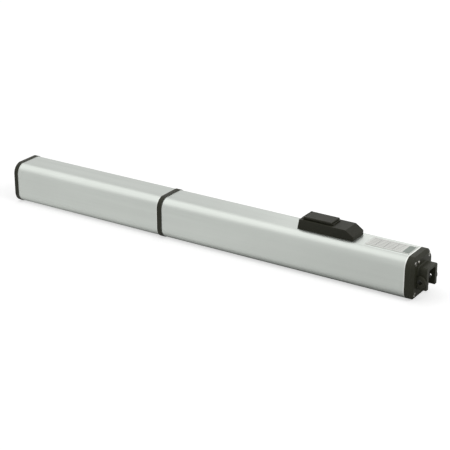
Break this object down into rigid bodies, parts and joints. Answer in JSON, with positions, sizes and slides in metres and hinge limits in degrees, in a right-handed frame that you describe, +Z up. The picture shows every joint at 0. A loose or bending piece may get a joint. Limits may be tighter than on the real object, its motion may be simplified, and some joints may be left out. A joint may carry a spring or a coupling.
{
  "type": "hydraulic swing gate opener",
  "caption": "Long square-section hydraulic ram for a swing gate, with an open-bottomed rod cover, a ball-eye rod end, a rear fork and a lidded release housing.",
  "frame": {"origin": "centre of the rear fork's cross bore", "axes": "+X along the opener, from the rod end towards the rear fork; +Y across it, along the cross bore; +Z up, towards the release housing"},
  "size_m": [0.9653, 0.087, 0.1107],
  "materials": {
    "anodised_aluminium": "satin anodised, drawn along its length",
    "dark_casting": "die cast, dark grey paint",
    "dark_moulding": "fine moulded grain",
    "pale_plate": "matt film, bare",
    "zinc_steel": "zinc plated",
    "black_nylon": "moulded, matt",
    "black_rubber": "matt",
    "spindle_steel": "turned",
    "brass_screw": "turned",
    "block_aluminium": "cast and machined",
    "filter_mesh": "woven wire",
    "tube_steel": "drawn and honed",
    "bronze": "sintered",
    "chromed_rod": "ground and hard chromed",
    "forged_steel": "forged, black finish",
    "bearing_steel": "ground",
    "pump_iron": "ground faces",
    "lamination_steel": "stacked sheets",
    "copper_windings": "enamelled wire"
  },
  "bodies": {
    "housing": {"main_profile": "anodised_aluminium", "rod_cover": "anodised_aluminium", "front_cap": "dark_casting", "front_cap_screws": "zinc_steel", "front_flange": "dark_casting", "front_flange_screws": "zinc_steel", "cover_screws": "zinc_steel", "front_gasket": "black_rubber", "rear_flange": "dark_casting", "rear_flange_screws": "zinc_steel", "rear_gasket": "black_rubber", "vent_screw": "zinc_steel", "cable_gland": "black_nylon", "cable_seal": "black_rubber", "rating_plate": "pale_plate", "release_housing": "dark_moulding", "release_housing_screws": "zinc_steel", "lid_pin": "zinc_steel", "release_seal": "black_rubber", "valve_block": "block_aluminium", "block_gasket": "black_rubber", "suction_filter": "filter_mesh", "cylinder_tube": "tube_steel", "cylinder_seals": "black_rubber", "tie_rods": "zinc_steel", "tie_rod_nuts": "zinc_steel", "rod_wiper": "black_rubber", "rod_guide_bush": "bronze", "rod_seal": "black_rubber", "pump_plate": "pump_iron", "pump_body": "pump_iron", "pump_screws": "zinc_steel", "motor_front_bell": "block_aluminium", "motor_rear_bell": "block_aluminium", "motor_stator": "lamination_steel", "motor_windings": "copper_windings", "motor_bearings": "bearing_steel", "motor_studs": "zinc_steel"},
    "rod": {"piston_rod": "chromed_rod", "piston": "tube_steel", "piston_seals": "black_rubber", "piston_nut": "zinc_steel", "rod_lock_nut": "zinc_steel", "rod_eye": "forged_steel"},
    "ball": {"eye_ball": "bearing_steel"},
    "lid": {"release_lid": "dark_moulding"},
    "spindle": {"release_spindle": "spindle_steel"},
    "opening_screw": {"opening_bypass_screw": "brass_screw"},
    "closing_screw": {"closing_bypass_screw": "brass_screw"},
    "rotor": {"motor_rotor": "lamination_steel", "motor_shaft": "spindle_steel", "pump_inner_rotor": "bearing_steel"},
    "pump_ring": {"pump_outer_rotor": "bearing_steel"}
  },
  "joints": [
    {"name": "rod_slide", "type": "slide", "parent": "housing", "child": "rod", "axis": [-1, 0, 0], "range_m": [0, 0.26]},
    {"name": "ball_turn", "type": "hinge", "parent": "rod", "child": "ball", "pos_m": [-0.6365, 0, 0.005], "axis": [0, 0, 1], "continuous": true},
    {"name": "lid_hinge", "type": "hinge", "parent": "housing", "child": "lid", "pos_m": [-0.253, 0, 0.0695], "axis": [0, -1, 0], "range_deg": [0, 110]},
    {"name": "release_turn", "type": "hinge", "parent": "housing", "child": "spindle", "pos_m": [-0.2245, 0, 0.05], "axis": [0, 0, 1], "range_deg": [0, 180]},
    {"name": "opening_force_turn", "type": "hinge", "parent": "housing", "child": "opening_screw", "pos_m": [-0.2395, 0, 0.05], "axis": [0, 0, 1], "range_deg": [-360, 360]},
    {"name": "closing_force_turn", "type": "hinge", "parent": "housing", "child": "closing_screw", "pos_m": [-0.2095, 0, 0.05], "axis": [0, 0, 1], "range_deg": [-360, 360]},
    {"name": "motor_spin", "type": "hinge", "parent": "housing", "child": "rotor", "pos_m": [-0.11, 0, 0.005], "axis": [1, 0, 0], "continuous": true},
    {"name": "pump_ring_spin", "type": "hinge", "parent": "housing", "child": "pump_ring", "pos_m": [-0.1835, 0, 0.0066], "axis": [1, 0, 0], "continuous": true}
  ],
  "couplings": [
    {"joint": "pump_ring_spin", "follows": "motor_spin", "ratio": 0.8}
  ]
}
